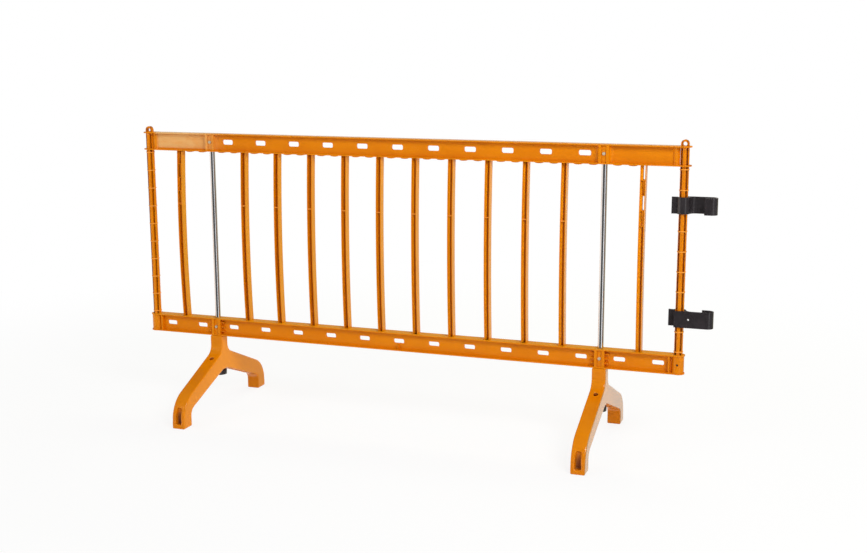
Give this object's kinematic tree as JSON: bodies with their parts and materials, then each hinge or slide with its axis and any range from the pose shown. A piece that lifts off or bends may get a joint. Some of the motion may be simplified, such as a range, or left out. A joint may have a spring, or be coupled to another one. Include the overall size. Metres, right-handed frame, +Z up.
{
  "type": "pedestrian barrier panel",
  "caption": "Moulded orange barrier panel with a barred frame, steel tubes, swivelling inverted-V legs and black hook clamps that couple it to the next panel.",
  "frame": {"origin": "centre of the object's box on the ground", "axes": "+X along the panel towards the clamps, +Y to the back, +Z up"},
  "size_m": [2.0723, 0.616, 1.0332],
  "materials": {
    "orange_plastic": "satin moulded",
    "bright_steel": "bright drawn",
    "zinc_steel": "zinc plated",
    "dark_steel": "black oxide",
    "black_plastic": "satin moulded"
  },
  "bodies": {
    "panel": {"top_rail": "orange_plastic", "bottom_rail": "orange_plastic", "left_end_post": "orange_plastic", "right_end_post": "orange_plastic", "bar_01": "orange_plastic", "bar_02": "orange_plastic", "bar_03": "orange_plastic", "bar_04": "orange_plastic", "bar_05": "orange_plastic", "bar_06": "orange_plastic", "bar_07": "orange_plastic", "bar_08": "orange_plastic", "bar_09": "orange_plastic", "bar_10": "orange_plastic", "bar_11": "orange_plastic", "bar_12": "orange_plastic", "left_tube": "bright_steel", "right_tube": "bright_steel", "rail_bolts": "zinc_steel", "rail_nuts": "zinc_steel", "cap_pins": "zinc_steel", "post_screws": "dark_steel", "left_tube_cap": "black_plastic", "right_tube_cap": "black_plastic"},
    "left_leg": {"left_leg": "orange_plastic"},
    "right_leg": {"right_leg": "orange_plastic"},
    "upper_clamp": {"upper_clamp": "black_plastic"},
    "lower_clamp": {"lower_clamp": "black_plastic"}
  },
  "joints": [
    {"name": "left_leg_swivel", "type": "hinge", "parent": "panel", "child": "left_leg", "pos_m": [-0.7581, 0, 0.2], "axis": [0, 0, 1], "range_deg": [-90, 90]},
    {"name": "right_leg_swivel", "type": "hinge", "parent": "panel", "child": "right_leg", "pos_m": [0.6719, 0, 0.2], "axis": [0, 0, 1], "range_deg": [-90, 90]},
    {"name": "upper_clamp_swivel", "type": "hinge", "parent": "panel", "child": "upper_clamp", "pos_m": [0.9279, 0, 0.825], "axis": [0, 0, 1], "continuous": true},
    {"name": "lower_clamp_swivel", "type": "hinge", "parent": "panel", "child": "lower_clamp", "pos_m": [0.9279, 0, 0.458], "axis": [0, 0, 1], "continuous": true}
  ]
}
